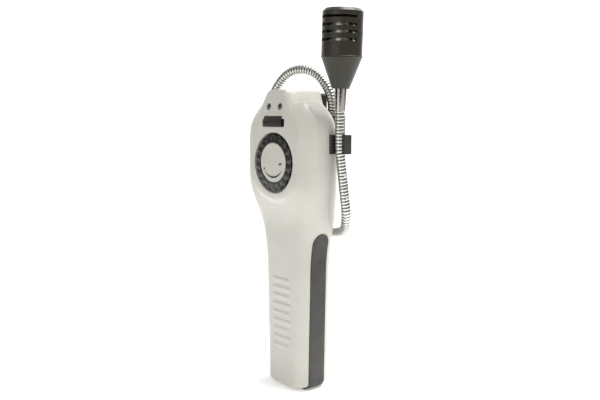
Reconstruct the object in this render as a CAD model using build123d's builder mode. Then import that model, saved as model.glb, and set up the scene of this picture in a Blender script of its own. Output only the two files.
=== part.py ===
from build123d import *
import math
import os

# Hand-held gas leak detector: a two-shell housing, a sensitivity ring around a fixed disc, a slide
# switch, two lamps, three cells in line, and a flexible arm that goes over and behind the housing.
# Millimetres, +Z up, front towards -Y, origin at the middle of the base.

# Housing
wall = 2.2
total_height = 221.0
handle_foot_half = 22.0
handle_top_half = 23.6
handle_top_z = 90.0
handle_front = -15.6
handle_back = 18.5
head_half = 35.3
head_low_z = 163.0
head_high_z = 182.0
head_front = -23.0
head_back = 15.0
shoulder_top_z = 212.0
neck_front_low = 119.0
neck_front_high = 158.0
neck_back_low = 118.0
neck_back_high = 160.0
front_corner = 11.2
back_corner = 14.0
foot_corner = 5.0
parting_y = 9.4
lip_depth = 1.5
fit_gap = 0.1
ledge_thick = 1.4

# Crown: the raised middle of the head, from the front face over the top to the back
crown_low_z = 185.0
crown_lean = 2.7
crown_lean_z = 199.0
crown_back = 14.0
crown_nose = 5.0
ridge_radius = 4.0

# Dial
dial_z = 168.8
pocket_radius = 21.8
pocket_depth = 2.7
pocket_floor = 2.0
dial_radius = 20.2
dial_inner = 12.6
dial_proud = 0.5
disc_radius = 14.2
disc_thick = 1.2
flutes = 18
flute_radius = 2.6
dial_turn = 135.0
peg_radius = 1.2
peg_circle = 16.4
collar_play = 0.06
peg_play = 0.3
ring_play = 0.3
rotor_play = 0.4
rotor_pin_radius = 3.0
rotor_thick = 2.2
rotor_rim = 2.0
peg_depth = 1.4
disc_proud = 0.3

# Switch and lamps
switch_z = 197.3
slot_half_x = 12.4
slot_half_z = 2.9
knob_half_x = 10.2
knob_half_z = 2.6
knob_proud = 1.3
switch_travel = 2.0
lamp_z = 208.9
lamp_spacing = 12.6
lamp_radius = 2.4
lamp_face = -22.2
switch_half_x = 10.0
switch_half_z = 3.5
switch_depth = 7.0
toggle_half_x = 2.0
toggle_height = 3.2
toggle_play = 0.4
toggle_reach = 2.6
flange_gap = 0.6
flange_thick = 1.0
flange_cover = 0.2
flange_rise = 0.9

# Handle details
rib_count = 9
rib_pitch = 6.26
rib_low_z = 31.5
rib_half_x = 11.0
rib_width = 2.2
rib_height = 0.6
strip_half = 7.4
strip_top_z = 117.4
strip_low_z = 2.6
strip_proud = 0.5
strip_deep = 1.0
strip_near = 10.0
strip_far = 30.0

# Battery door
door_half = 15.0
door_low = 3.4
door_high = 100.0
door_gap = 0.25
tab_half = 8.0
tab_length = 4.0
tab_thick = 1.1
door_corner = 3.0
door_screw_z = 7.0
door_seat = 1.2
door_head_height = 1.1
door_screw_length = 10.0
ledge_width = 3.6

# Cells
cell_radius = 12.6
cell_y = -0.3
cell_length = 50.0
cell_count = 3
cell_foot_z = 13.0
cradle_wall = 1.2
cradle_play = 0.15
cradle_half_y = 12.5

# Screws
screw_radius = 1.4
screw_bite = 9.0
screw_seat = 1.6
screw_head_radius = 2.7
screw_head_height = 1.8
screw_play = 0.25
head_play = 0.3
boss_radius = 2.7
column_wall = 0.9
board_screw_radius = 1.0
board_head_radius = 2.1
board_head_height = 1.3
board_screw_length = 6.0

# Board
board_back = -7.6
board_thick = 1.6
board_half_x = 24.0
board_low_z = 165.4
board_high_z = 206.0
post_radius = 2.2
pot_half_x = 7.0
pot_low_z = 165.4
pot_high_z = 175.4
pot_depth = 4.6
buzzer_x, buzzer_z = -12.5, 188.0
buzzer_radius = 6.5
buzzer_depth = 5.0

# Arm
arm_radius = 3.5
arm_bore = 2.0
stub_radius = 1.75
ferrule_gap = 0.2
arch_top_z = 237.0
arch_side_z = 218.2
root_x, root_y = 13.3, 22.8
root_z = 186.0
socket_mouth_z = 204.0
leg_x, leg_y = 41.0, 3.9
left_x, left_y = -39.3, 7.0
ferrule_z = 205.6
link_count = 4
link_pitch = 8.05
link_gap = 0.8
link_low_z = 140.5
leg_lean = 8.5
bend_z = 179.0
clip_low_z = 175.5
clip_high_z = 189.0
clip_play = 0.2
clip_back_play = 0.7
clip_thick = 1.9
clip_peg_radius = 1.5
clip_peg_y = 1.2
clip_peg_z = (178.5, 186.0)

# Sensor head
head_lean = 2.2
ferrule_length = 15.4
ferrule_low_r = 3.7
ferrule_high_r = 4.4
cone_length = 21.7
cone_low_r = 6.1
cap_radius = 14.15
cap_length = 32.6
cap_wall = 1.8
slot_rows = (253.9, 259.2, 264.1, 269.5)
slot_height = 1.9
slot_arc = 134.0
pillar_azimuth = 23.0

os.makedirs("parts", exist_ok=True)
board_front = board_back - board_thick
stop_half_x = peg_circle * math.sin(math.radians(180 - dial_turn)) - peg_radius - peg_play
inner_front = head_front + wall
ring_face = head_front - dial_proud
pocket_y = head_front + pocket_depth
floor_back = pocket_y + pocket_floor
rotor_back = floor_back + rotor_play + rotor_thick
rotor_pin_length = board_front - floor_back - 0.5


def save(piece, name):
    """Label one finished piece and write its file."""
    piece.label = name
    export_step(piece, f"parts/{name}.step")
    print(name, round(piece.volume), len(piece.solids()), piece.is_valid)


def crosses(edge):
    """True for a level line that runs across the whole front or back."""
    size = edge.bounding_box().size
    return size.Z < 0.01 and size.X > 40


def round_off(edges, radius):
    """Fillet the edges, with a slightly different radius where the exact one can't be made."""
    for share in (1.0, 0.95, 1.05, 0.9, 0.8, 0.7):
        try:
            fillet(edges, radius * share)
            return
        except ValueError:
            print("no fillet of", round(radius * share, 2))


def hull_body(inset):
    """The housing without its crown: front outline, side profile, then rounded corners."""
    foot, top, wide = handle_foot_half - inset, handle_top_half - inset, head_half - inset
    front, face = handle_front + inset, head_front + inset
    back, rear = head_back - inset, handle_back - inset
    with BuildPart() as body:
        with BuildSketch(Plane.XZ):
            with BuildLine():
                Line((0, inset), (foot, inset))
                Line((foot, inset), (top, handle_top_z))
                Spline((top, handle_top_z), (wide, head_low_z), tangents=[(0.018, 1), (0, 1)])
                Line((wide, head_low_z), (wide, head_high_z))
                shoulder = ((wide, head_high_z), (32.7 - inset * 0.95, 201.3 - inset * 0.3),
                            (25.6 - inset * 0.7, 209.7 - inset * 0.8), (0, shoulder_top_z - inset))
                Spline(*shoulder, tangents=[(0, 1), (-1, 0)])
                mirror(about=Plane.YZ)
            make_face()
        extrude(amount=60, both=True)
        with BuildSketch(Plane.YZ):
            with BuildLine():
                Polyline((rear, neck_back_low), (rear, inset - 5), (front, inset - 5), (front, neck_front_low))
                Spline((front, neck_front_low), (face, neck_front_high), tangents=[(0, 1), (0, 1)])
                Polyline((face, neck_front_high), (face, 260), (back, 260), (back, neck_back_high))
                Spline((back, neck_back_high), (rear, neck_back_low), tangents=[(0, -1), (0, -1)])
            make_face()
        extrude(amount=60, both=True, mode=Mode.INTERSECT)
        upper = body.edges().filter_by(lambda e: e.center().Z > inset + 1 and not crosses(e))
        fillet(upper.filter_by(lambda e: e.bounding_box().max.Y < front + 0.3), front_corner - inset)
        upper = body.edges().filter_by(lambda e: e.center().Z > inset + 1 and not crosses(e))
        fillet(upper.filter_by(lambda e: e.bounding_box().min.Y > back - 0.1), back_corner - inset)
        fillet(body.edges().filter_by(lambda e: e.bounding_box().max.Z < inset + 0.01), foot_corner - inset)
    return body.part


def crown_body(inset):
    """The crown: one loft from the wide front outline to the narrow spine at the back."""
    stations = ((head_front - 0.5 + inset, 25.0, 188.0, 20.6, 205.0, 14.0, 218.5),
                (-8.0, 24.0, 192.0, 15.5, 209.5, 10.5, 219.5),
                (crown_back - inset, 22.0, 196.0, 12.5, 211.0, 9.5, 219.6))
    top = total_height - inset
    rear = crown_back - inset
    face = head_front + inset
    with BuildPart() as crown:
        for y, foot_x, foot_z, mid_x, mid_z, edge_x, edge_z in stations:
            with BuildSketch(Plane.XZ.offset(-y)):
                with BuildLine():
                    Polyline((0, crown_low_z), (foot_x - inset, crown_low_z), (foot_x - inset, foot_z))
                    flank = ((foot_x - inset, foot_z), (mid_x - inset, mid_z - inset / 2),
                             (edge_x - inset, edge_z - inset))
                    Spline(*flank, tangents=[(-0.2, 1), (-0.45, 1)])
                    Polyline((edge_x - inset, edge_z - inset), (edge_x - 2.2 - inset / 2, top), (0, top))
                    mirror(about=Plane.YZ)
                make_face()
        loft()
        with BuildSketch(Plane.YZ) as profile:
            with BuildLine():
                Polyline((rear, 180), (face, 180), (face, crown_lean_z), (face + crown_lean, top),
                         (rear, top), (rear, 180))
            make_face()
            fillet(profile.vertices().sort_by(Axis.Z)[-2:].sort_by(Axis.Y)[0], crown_nose - inset / 2)
        extrude(amount=60, both=True, mode=Mode.INTERSECT)
        ridge = crown.edges().filter_by(lambda e: e.bounding_box().max.Y < -12 and abs(e.center().X) > 9
                                        and e.bounding_box().max.Z > 189 and e.bounding_box().size.Z > 1)
        round_off(ridge, ridge_radius - inset * 0.3)
    return crown.part


def housing(inset):
    """The whole outer form, or the same form set in by a wall."""
    with BuildPart() as whole:
        add(hull_body(inset))
        add(crown_body(inset))
    return whole.part


outer = housing(0)
inner = housing(wall)
lip_outer = housing(wall / 2)
lip_room = housing(wall / 2 - fit_gap)


def strip_outline(grow):
    """Side view of the grip strip: a long bar with a round top."""
    with BuildSketch() as outline:
        with BuildLine():
            half, low, high = strip_half + grow, strip_low_z - grow, strip_top_z - strip_half
            Polyline((-half, high), (-half, low), (half, low), (half, high))
            RadiusArc((-half, high), (half, high), half)
        make_face()
    return outline.sketch_local


def strip_slab(grow, near, far):
    """A slab through one side of the handle in the strip's outline."""
    with BuildPart() as slab:
        with BuildSketch(Plane.YZ.offset(near)):
            add(strip_outline(grow))
        extrude(amount=far - near)
    return slab.part


strip_skin = hull_body(-strip_proud)
strip_floor = hull_body(strip_deep)
strip_bed = hull_body(strip_deep + fit_gap)
for side, near, far in (("right", strip_near, strip_far), ("left", -strip_far, -strip_near)):
    with BuildPart() as strip:
        add(strip_skin)
        add(strip_slab(0, near, far), mode=Mode.INTERSECT)
        add(strip_floor, mode=Mode.SUBTRACT)
    save(strip.part, f"grip_strip_{side}")

# Front shell
lower_screws = [(-17.6, 107.0), (17.6, 107.0)]
upper_screws = [(-22.6, 153.0), (22.6, 153.0)]
screw_places = lower_screws + upper_screws
board_posts = [(-21.2, 169.0), (21.2, 169.0), (-20.5, 201.5), (20.5, 201.5)]

with BuildPart() as front_bosses:
    for x, z in screw_places:
        with BuildSketch(Plane.XZ.offset(-parting_y)):
            with Locations((x, z)):
                Circle(boss_radius)
        extrude(amount=30)
    for x, z in board_posts:
        with BuildSketch(Plane.XZ.offset(-board_front)):
            with Locations((x, z)):
                Circle(post_radius)
        extrude(amount=20)
    with BuildSketch(Plane.XZ.offset(-(handle_back - wall - fit_gap))):
        with Locations((0, door_screw_z)):
            Circle(boss_radius)
    extrude(amount=40)
    with BuildSketch(Plane.XZ.offset(-floor_back)):
        with Locations((0, dial_z)):
            Circle(pocket_radius + wall)
    extrude(amount=floor_back - head_front - 0.4)
    add(lip_outer, mode=Mode.INTERSECT)

with BuildPart() as lip:
    add(lip_outer)
    add(inner, mode=Mode.SUBTRACT)
    split(bisect_by=Plane.XZ.offset(-(parting_y + lip_depth)), keep=Keep.TOP)
    split(bisect_by=Plane.XZ.offset(-(parting_y - 1)), keep=Keep.BOTTOM)

with BuildPart() as front_shell:
    add(outer)
    add(inner, mode=Mode.SUBTRACT)
    split(bisect_by=Plane.XZ.offset(-parting_y), keep=Keep.TOP)
    add(lip.part)
    add(front_bosses.part)
    # Grip strips' beds
    for near, far in ((strip_near, strip_far), (-strip_far, -strip_near)):
        with BuildPart(mode=Mode.PRIVATE) as bed:
            add(strip_slab(fit_gap, near, far))
            add(strip_bed, mode=Mode.SUBTRACT)
        add(bed.part, mode=Mode.SUBTRACT)
    # Ribs across the handle
    rib_plane = Plane.XZ.offset(-handle_front)
    for step in range(rib_count):
        with BuildSketch(rib_plane.offset(-0.5)):
            with Locations((0, rib_low_z + step * rib_pitch)):
                SlotOverall(rib_half_x * 2, rib_width)
        extrude(amount=rib_height + 0.5)
    # Dial pocket, its collar and the slot for the dial's peg
    with BuildSketch(Plane.XZ.offset(-pocket_y)):
        with Locations((0, dial_z)):
            Circle(pocket_radius)
            Circle(dial_inner - collar_play, mode=Mode.SUBTRACT)
    extrude(amount=pocket_depth + 1, mode=Mode.SUBTRACT)
    with BuildSketch(Plane.XZ.offset(-(head_front + disc_thick - disc_proud))):
        with Locations((0, dial_z)):
            Circle(disc_radius)
    extrude(amount=5, mode=Mode.SUBTRACT)
    with BuildSketch(Plane.XZ.offset(-floor_back)):
        with Locations((0, dial_z)):
            Circle(peg_circle + peg_radius + peg_play)
            Circle(peg_circle - peg_radius - peg_play, mode=Mode.SUBTRACT)
        with Locations((0, dial_z - peg_circle)):
            Rectangle(2 * stop_half_x, peg_circle, mode=Mode.SUBTRACT)
    extrude(amount=pocket_floor, mode=Mode.SUBTRACT)
    # Switch slot and lamp holes
    with BuildSketch(Plane.XZ.offset(-(head_front + wall + 1))):
        with Locations((0, switch_z)):
            RectangleRounded(slot_half_x * 2, slot_half_z * 2, 1.0)
    extrude(amount=8, mode=Mode.SUBTRACT)
    with BuildSketch(Plane.XZ.offset(-(head_front + 3 * wall))):
        with Locations((-lamp_spacing / 2, lamp_z), (lamp_spacing / 2, lamp_z)):
            Circle(lamp_radius + fit_gap)
    extrude(amount=20, mode=Mode.SUBTRACT)
    # Pilot holes for the screws
    for x, z in screw_places:
        with BuildSketch(Plane.XZ.offset(-(parting_y + lip_depth + fit_gap))):
            with Locations((x, z)):
                Circle(screw_radius)
        extrude(amount=screw_bite + lip_depth + fit_gap, mode=Mode.SUBTRACT)
    for x, z in board_posts:
        with BuildSketch(Plane.XZ.offset(-board_front)):
            with Locations((x, z)):
                Circle(board_screw_radius)
        extrude(amount=5, mode=Mode.SUBTRACT)
    with BuildSketch(Plane.XZ.offset(-handle_back)):
        with Locations((0, door_screw_z)):
            Circle(screw_radius)
    extrude(amount=12, mode=Mode.SUBTRACT)
    # Holes for the clip's pegs
    for z in clip_peg_z:
        with BuildSketch(Plane.YZ.offset(head_half - 5)):
            with Locations((clip_peg_y, z)):
                Circle(clip_peg_radius + fit_gap)
        extrude(amount=8, mode=Mode.SUBTRACT)
save(front_shell.part, "front_shell")

# Rear shell with its door opening, door ledges, screw columns and arm screws
with BuildPart() as rear_columns:
    for x, z in screw_places:
        with BuildSketch(Plane.XZ.offset(-(parting_y + fit_gap))):
            with Locations((x, z)):
                Circle(boss_radius + column_wall)
        extrude(amount=-30)
    add(lip_outer, mode=Mode.INTERSECT)

with BuildPart() as door_prism:
    with BuildSketch(Plane.XZ.offset(-(parting_y + lip_depth + 0.6))):
        with Locations((0, (door_low + door_high) / 2)):
            RectangleRounded(door_half * 2, door_high - door_low, door_corner)
    extrude(amount=-30)

with BuildPart() as door_ledges:
    with BuildSketch(Plane.XZ.offset(-(parting_y + lip_depth + 0.6))):
        for side in (-1, 1):
            with Locations((side * (door_half - 0.4), (door_low + door_high) / 2)):
                Rectangle(ledge_width, door_high - door_low - 20)
    extrude(amount=-30)
    add(lip_outer, mode=Mode.INTERSECT)
    add(hull_body(wall + ledge_thick), mode=Mode.SUBTRACT)

with BuildPart() as door_room:
    add(door_prism.part)
    add(hull_body(wall + 0.05), mode=Mode.SUBTRACT)

with BuildPart() as rear_shell:
    add(outer)
    add(inner, mode=Mode.SUBTRACT)
    split(bisect_by=Plane.XZ.offset(-parting_y), keep=Keep.BOTTOM)
    with BuildPart(mode=Mode.PRIVATE) as step:
        add(lip_room)
        split(bisect_by=Plane.XZ.offset(-(parting_y + lip_depth)), keep=Keep.TOP)
    add(step.part, mode=Mode.SUBTRACT)
    add(rear_columns.part)
    add(lip.part, mode=Mode.SUBTRACT)
    add(door_ledges.part)
    add(door_room.part, mode=Mode.SUBTRACT)
    for x, z in screw_places:
        with BuildSketch(Plane.XZ.offset(-parting_y)):
            with Locations((x, z)):
                Circle(screw_radius + screw_play)
        extrude(amount=-20, mode=Mode.SUBTRACT)
        with BuildSketch(Plane.XZ.offset(-(parting_y + screw_seat))):
            with Locations((x, z)):
                Circle(screw_head_radius + head_play)
        extrude(amount=-20, mode=Mode.SUBTRACT)
save(rear_shell.part, "rear_shell")

with BuildPart() as battery_door:
    add(outer)
    add(inner, mode=Mode.SUBTRACT)
    with BuildPart(mode=Mode.PRIVATE) as door_form:
        with BuildSketch(Plane.XZ.offset(-(parting_y + lip_depth + 0.6))):
            with Locations((0, (door_low + door_high) / 2)):
                RectangleRounded((door_half - door_gap) * 2, door_high - door_low - 2 * door_gap,
                                 door_corner - door_gap)
        extrude(amount=-30)
    add(door_form.part, mode=Mode.INTERSECT)
    with BuildSketch(Plane.XZ.offset(-(handle_back - wall))):
        with Locations((0, door_high)):
            Rectangle(tab_half * 2, tab_length * 2)
    extrude(amount=tab_thick)
    with BuildSketch(Plane.XZ.offset(-(handle_back - wall - 2))):
        with Locations((0, door_screw_z)):
            Circle(screw_radius + screw_play)
    extrude(amount=-10, mode=Mode.SUBTRACT)
    with BuildSketch(Plane.XZ.offset(-(handle_back - door_seat))):
        with Locations((0, door_screw_z)):
            Circle(screw_head_radius + head_play)
    extrude(amount=-5, mode=Mode.SUBTRACT)
save(battery_door.part, "battery_door")


def screw(x, z, seat_y, head_height, length, radius, head_radius):
    """A screw that points forward: head behind seat_y, shank in front of it."""
    with BuildPart() as body:
        with BuildSketch(Plane.XZ.offset(-seat_y)):
            with Locations((x, z)):
                Circle(head_radius)
        extrude(amount=-head_height)
        fillet(body.edges().filter_by(GeomType.CIRCLE).sort_by(Axis.Y)[-1], head_height * 0.3)
        with BuildSketch(Plane.XZ.offset(-seat_y)):
            with Locations((x, z)):
                Circle(radius)
        extrude(amount=length)
    return body.part


with BuildPart() as case_screws:
    for x, z in screw_places:
        add(screw(x, z, parting_y + screw_seat, screw_head_height, screw_seat + screw_bite - 1,
                  screw_radius, screw_head_radius))
save(case_screws.part, "case_screws")

with BuildPart() as door_screw:
    add(screw(0, door_screw_z, handle_back - door_seat, door_head_height, door_screw_length,
              screw_radius, screw_head_radius))
save(door_screw.part, "door_screw")

with BuildPart() as board_screws:
    for x, z in board_posts:
        add(screw(x, z, board_back, board_head_height, board_screw_length, board_screw_radius,
                  board_head_radius))
save(board_screws.part, "board_screws")

# Cradle for the cells: a trough with two end walls
cell_top_z = cell_foot_z + cell_count * cell_length
cradle_radius = cell_radius + cradle_play + cradle_wall
with BuildPart() as battery_cradle:
    with BuildSketch(Plane.XY.offset(cell_foot_z - 3)):
        with Locations((0, cell_y)):
            Circle(cradle_radius)
            Circle(cell_radius + cradle_play, mode=Mode.SUBTRACT)
            Rectangle(60, 2 * cradle_half_y, mode=Mode.INTERSECT)
    extrude(amount=cell_top_z - cell_foot_z + 3 + 1.7)
    for z in (cell_foot_z - 3, cell_top_z + 0.5):
        with BuildSketch(Plane.XY.offset(z)):
            with Locations((0, cell_y)):
                Circle(cradle_radius)
                Rectangle(60, 2 * cradle_half_y, mode=Mode.INTERSECT)
        extrude(amount=1.2)
save(battery_cradle.part, "battery_cradle")

for index in range(cell_count):
    with BuildPart() as cell:
        base_z = cell_foot_z + index * cell_length
        with BuildSketch(Plane.XY.offset(base_z)):
            with Locations((0, cell_y)):
                Circle(cell_radius)
        extrude(amount=cell_length - 2)
        fillet(cell.edges().filter_by(GeomType.CIRCLE), 1.0)
        with BuildSketch(Plane.XY.offset(base_z + cell_length - 2)):
            with Locations((0, cell_y)):
                Circle(3.6)
        extrude(amount=2)
    save(cell.part, f"battery_cell_{index + 1}")

with BuildPart() as contact_spring:
    with BuildSketch(Plane.XY.offset(cell_foot_z - 1.8)):
        with Locations((0, cell_y)):
            Circle(9.0)
    extrude(amount=0.4)
    with BuildSketch(Plane.XY.offset(cell_foot_z - 1.4)) as wide:
        with Locations((0, cell_y)):
            Circle(7.0)
            Circle(5.8, mode=Mode.SUBTRACT)
    with BuildSketch(Plane.XY.offset(cell_foot_z)) as narrow:
        with Locations((0, cell_y)):
            Circle(4.0)
            Circle(2.8, mode=Mode.SUBTRACT)
    loft()
save(contact_spring.part, "contact_spring")

with BuildPart() as contact_plate:
    with BuildSketch(Plane.XY.offset(cell_top_z)):
        with Locations((0, cell_y)):
            RectangleRounded(12, 12, 1.5)
    extrude(amount=0.5)
save(contact_plate.part, "contact_plate")

# Board and what it carries
with BuildPart() as circuit_board:
    with BuildSketch(Plane.XZ.offset(-board_back)):
        with Locations((0, (board_low_z + board_high_z) / 2)):
            RectangleRounded(board_half_x * 2, board_high_z - board_low_z, 2.0)
        with Locations(*board_posts):
            Circle(board_screw_radius + 0.2, mode=Mode.SUBTRACT)
    extrude(amount=board_thick)
save(circuit_board.part, "circuit_board")

with BuildPart() as potentiometer:
    with BuildSketch(Plane.XZ.offset(-board_front)):
        with Locations((0, (pot_low_z + pot_high_z) / 2)):
            RectangleRounded(2 * pot_half_x, pot_high_z - pot_low_z, 1.0)
    extrude(amount=pot_depth)
    with BuildSketch(Plane.XZ.offset(-board_front)):
        with Locations((0, dial_z)):
            Circle(rotor_pin_radius)
    extrude(amount=rotor_pin_length)
save(potentiometer.part, "potentiometer")

with BuildPart() as potentiometer_rotor:
    with BuildSketch(Plane.XZ.offset(-rotor_back)):
        with Locations((0, dial_z)):
            Circle(peg_circle + rotor_rim)
            Circle(rotor_pin_radius + collar_play, mode=Mode.SUBTRACT)
            with PolarLocations(peg_circle, 1, 90):
                Circle(peg_radius + 0.02, mode=Mode.SUBTRACT)
    extrude(amount=rotor_thick)
save(potentiometer_rotor.part, "potentiometer_rotor")

with BuildPart() as dial_ring:
    with BuildSketch(Plane.XZ.offset(-(pocket_y - ring_play))):
        with Locations((0, dial_z)):
            Circle(dial_radius)
            Circle(dial_inner, mode=Mode.SUBTRACT)
            with PolarLocations(dial_radius + flute_radius * 0.55, flutes):
                Circle(flute_radius, mode=Mode.SUBTRACT)
    extrude(amount=pocket_y - ring_play - ring_face)
    with BuildSketch(Plane.XZ.offset(-(head_front + disc_thick - disc_proud + 0.25))):
        with Locations((0, dial_z)):
            Circle(disc_radius + 0.2)
    extrude(amount=10, mode=Mode.SUBTRACT)
    with BuildSketch(Plane.XZ.offset(-(rotor_back - rotor_thick + peg_depth))):
        with Locations((0, dial_z)):
            with PolarLocations(peg_circle, 1, 90):
                Circle(peg_radius)
    extrude(amount=rotor_back - rotor_thick + peg_depth - pocket_y + 1)
save(dial_ring.part, "dial_ring")

with BuildPart() as dial_disc:
    with BuildSketch(Plane.XZ.offset(-(head_front + disc_thick - disc_proud))):
        with Locations((0, dial_z)):
            Circle(disc_radius)
    extrude(amount=disc_thick)
    fillet(dial_disc.edges().filter_by(GeomType.CIRCLE).sort_by(Axis.Y)[0], 0.4)
save(dial_disc.part, "dial_disc")

with BuildPart() as switch_body:
    with BuildSketch(Plane.XZ.offset(-board_front)):
        with Locations((0, switch_z)):
            Rectangle(2 * switch_half_x, 2 * switch_half_z)
    extrude(amount=switch_depth)
    with BuildSketch(Plane.XZ.offset(-(board_front - switch_depth))):
        with Locations((0, switch_z)):
            Rectangle(2 * (toggle_half_x + switch_travel + toggle_play), toggle_height + toggle_play)
    extrude(amount=-(toggle_reach + toggle_play), mode=Mode.SUBTRACT)
save(switch_body.part, "switch_body")

with BuildPart() as switch_knob:
    flange_y = inner_front + flange_gap
    toggle_end = board_front - switch_depth + toggle_reach
    with BuildSketch(Plane.XZ.offset(-flange_y)):
        with Locations((0, switch_z)):
            RectangleRounded(2 * knob_half_x, 2 * knob_half_z, 0.8)
    extrude(amount=flange_y - head_front + knob_proud)
    with BuildSketch(Plane.XZ.offset(-(flange_y + flange_thick))):
        with Locations((0, switch_z)):
            Rectangle(2 * (slot_half_x + switch_travel + flange_cover), 2 * (slot_half_z + flange_rise))
    extrude(amount=flange_thick)
    with BuildSketch(Plane.XZ.offset(-toggle_end)):
        with Locations((0, switch_z)):
            Rectangle(2 * toggle_half_x, toggle_height)
    extrude(amount=toggle_end - flange_y)
save(switch_knob.part, "switch_knob")

for side, name in ((-1, "ready_lamp"), (1, "alarm_lamp")):
    with BuildPart() as lamp:
        x = side * lamp_spacing / 2
        lamp_back = inner_front + 5
        with BuildSketch(Plane.XZ.offset(-lamp_back)):
            with Locations((x, lamp_z)):
                Circle(lamp_radius)
        extrude(amount=lamp_back - lamp_face)
        fillet(lamp.edges().filter_by(GeomType.CIRCLE).sort_by(Axis.Y)[0], 1.6)
        with BuildSketch(Plane.XZ.offset(-lamp_back)):
            with Locations((x, lamp_z)):
                Circle(lamp_radius + 0.6)
        extrude(amount=1.2)
        with BuildSketch(Plane.XZ.offset(-lamp_back)):
            with Locations((x - 1.27, lamp_z), (x + 1.27, lamp_z)):
                Circle(0.35)
        extrude(amount=-(board_front - 2 - lamp_back))
        with BuildSketch(Plane.XZ.offset(-board_front)):
            with Locations((x, lamp_z - 2.2)):
                Rectangle(4.4, 5.6)
        extrude(amount=2.2)
    save(lamp.part, name)

with BuildPart() as buzzer:
    with BuildSketch(Plane.XZ.offset(-(head_back - wall - 0.05))):
        with Locations((buzzer_x, buzzer_z)):
            Circle(buzzer_radius)
    extrude(amount=buzzer_depth)
save(buzzer.part, "buzzer")

# Arm socket, moulded on to the back of the head
with BuildPart() as arm_socket:
    with BuildSketch(Plane.XZ.offset(-head_back)) as base:
        with Locations(((root_x - 1.5), (root_z + socket_mouth_z) / 2 - 4)):
            RectangleRounded(19, socket_mouth_z - root_z + 8, 3.0)
    extrude(amount=-(root_y + arm_radius + 2.2 - head_back))
    with BuildSketch(Plane.XZ.offset(-head_back)):
        with Locations((-1.0, (socket_mouth_z + 219 - 12) / 2)):
            RectangleRounded(14, 219 - socket_mouth_z + 12, 3.0)
    extrude(amount=-9)
    add(outer, mode=Mode.SUBTRACT)
    with BuildSketch(Plane.XY.offset(root_z)):
        with Locations((root_x, root_y)):
            Circle(arm_radius + 0.05)
    extrude(amount=60, mode=Mode.SUBTRACT)
save(arm_socket.part, "arm_socket")

# Clip: a hook plate on the head's right side
with BuildPart() as arm_clip:
    clip_y = leg_y + arm_radius + clip_back_play
    inner_x = leg_x - arm_radius - clip_play
    outer_x = leg_x + arm_radius + clip_play
    with BuildSketch(Plane.XY.offset(clip_low_z)):
        with BuildLine():
            Polyline((head_half - 3, clip_y + clip_thick), (head_half - 3, clip_y - 7), (head_half, -0.7),
                     (inner_x, -0.7), (inner_x, clip_y), (outer_x, clip_y), (outer_x, leg_y - 0.6),
                     (outer_x + clip_thick, leg_y - 0.6), (outer_x + clip_thick, clip_y + clip_thick),
                     (head_half - 3, clip_y + clip_thick))
        make_face()
    extrude(amount=clip_high_z - clip_low_z)
    add(outer, mode=Mode.SUBTRACT)
    for z in clip_peg_z:
        with BuildSketch(Plane.YZ.offset(head_half + 0.2)):
            with Locations((clip_peg_y, z)):
                Circle(clip_peg_radius)
        extrude(amount=-(wall + 1.0))
save(arm_clip.part, "arm_clip")

# Arm: the chosen corners of its route, from the socket to the first bending link
lean = math.tan(math.radians(leg_lean))


def leg_point(z):
    """A point on the leaning part of the right leg."""
    return (leg_x, leg_y + (bend_z - z) * lean, z)


arm_route = [(root_x, root_y, root_z), (root_x, root_y, arch_side_z), (-2.1, 18.2, arch_top_z),
             (-23.9, 11.6, arch_top_z), (left_x, left_y, arch_side_z), (left_x, left_y + 3, 131), (-31, 20, 118),
             (0, 27.5, 112), (31.5, 18.6, 118.5), leg_point(130.5), leg_point(link_low_z - link_gap / 2)]


def corner_radii(points):
    """The radius each corner's two runs allow: an end run serves one arc, an inner run two."""
    runs = [Vector(*after) - Vector(*before) for before, after in zip(points, points[1:])]
    halves = [math.tan(math.radians(before.get_angle(after) / 2)) for before, after in zip(runs, runs[1:])]
    reach = [0.0] + halves + [0.0]
    room = [0.96 * run.length / (start + end) for run, start, end in zip(runs, reach, reach[1:])]
    return [min(before, after) for before, after in zip(room, room[1:])]


arm_radii = corner_radii(arm_route)
print("arm radii", [round(radius, 1) for radius in arm_radii])
with BuildPart() as arm_main:
    with BuildLine() as path:
        FilletPolyline(*arm_route, radius=arm_radii)
    with BuildSketch(Plane.XY.offset(root_z)):
        with Locations((root_x, root_y)):
            Circle(arm_radius)
            Circle(arm_bore, mode=Mode.SUBTRACT)
    sweep()
arm_length = sum(edge.length for edge in path.edges())
print("arm length", round(arm_length, 1), "section times length",
      round(arm_length * math.pi * (arm_radius ** 2 - arm_bore ** 2)))
save(arm_main.part, "arm_main")

leg_axis = Vector(*leg_point(160)) - Vector(*leg_point(150))
for index in range(link_count):
    low = link_low_z + index * link_pitch + link_gap / 2
    with BuildPart() as link:
        with BuildSketch(Plane(origin=leg_point(low), z_dir=leg_axis)):
            Circle(arm_radius)
            Circle(arm_bore, mode=Mode.SUBTRACT)
        extrude(amount=(link_pitch - link_gap) / math.cos(math.radians(leg_lean)))
    save(link.part, f"arm_link_{index + 1}")

upper_z = link_low_z + link_count * link_pitch + link_gap / 2
upper_route = [leg_point(upper_z), leg_point(bend_z), (leg_x, leg_y, ferrule_z)]
with BuildPart() as arm_upper:
    with BuildLine() as path:
        FilletPolyline(*upper_route, radius=30)
    with BuildSketch(Plane(origin=upper_route[0], z_dir=Vector(*upper_route[1]) - Vector(*upper_route[0]))):
        Circle(arm_radius)
        Circle(arm_bore, mode=Mode.SUBTRACT)
    sweep()
save(arm_upper.part, "arm_upper")

# Sensor head: turned and moulded pieces on one leaning axis
head_axis = (math.sin(math.radians(head_lean)), 0, math.cos(math.radians(head_lean)))
head_plane = Plane(origin=(leg_x, leg_y, ferrule_z), x_dir=(head_axis[2], 0, -head_axis[0]), z_dir=head_axis)
cone_foot = ferrule_length
cap_foot = cone_foot + cone_length
cap_top = cap_foot + cap_length


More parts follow.
